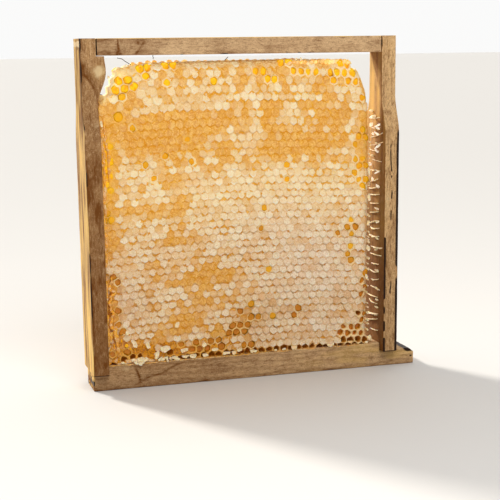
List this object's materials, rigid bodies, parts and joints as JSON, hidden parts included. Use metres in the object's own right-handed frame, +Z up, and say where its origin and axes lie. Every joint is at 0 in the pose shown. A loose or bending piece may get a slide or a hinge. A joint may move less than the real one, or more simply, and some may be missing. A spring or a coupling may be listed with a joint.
{
  "type": "honeycomb piece",
  "caption": "Slab of capped honeycomb built in a narrow wooden hive frame, standing upright on the frame's thick lugged bar.",
  "frame": {"origin": "on the underside of the lugged bar, midway between the outer faces of the side bars and midway through the frame's depth", "axes": "+Z up through the comb to the thin bar, +X along the frame towards the remaining lug, -Y towards the side of the comb that is shown"},
  "size_m": [0.2335, 0.037, 0.232],
  "materials": {
    "bar_wood": "bare planed softwood, weathered, with wax and propolis stains",
    "side_wood": "bare planed softwood, weathered, with dark propolis along its edges",
    "comb_wax": "beeswax cappings over honey, pale and dry in places and amber where the honey touches them"
  },
  "bodies": {
    "root": {"lug_bar": "bar_wood", "thin_bar": "bar_wood", "side_bar_left": "side_wood", "side_bar_right": "side_wood", "comb": "comb_wax"}
  },
  "joints": []
}
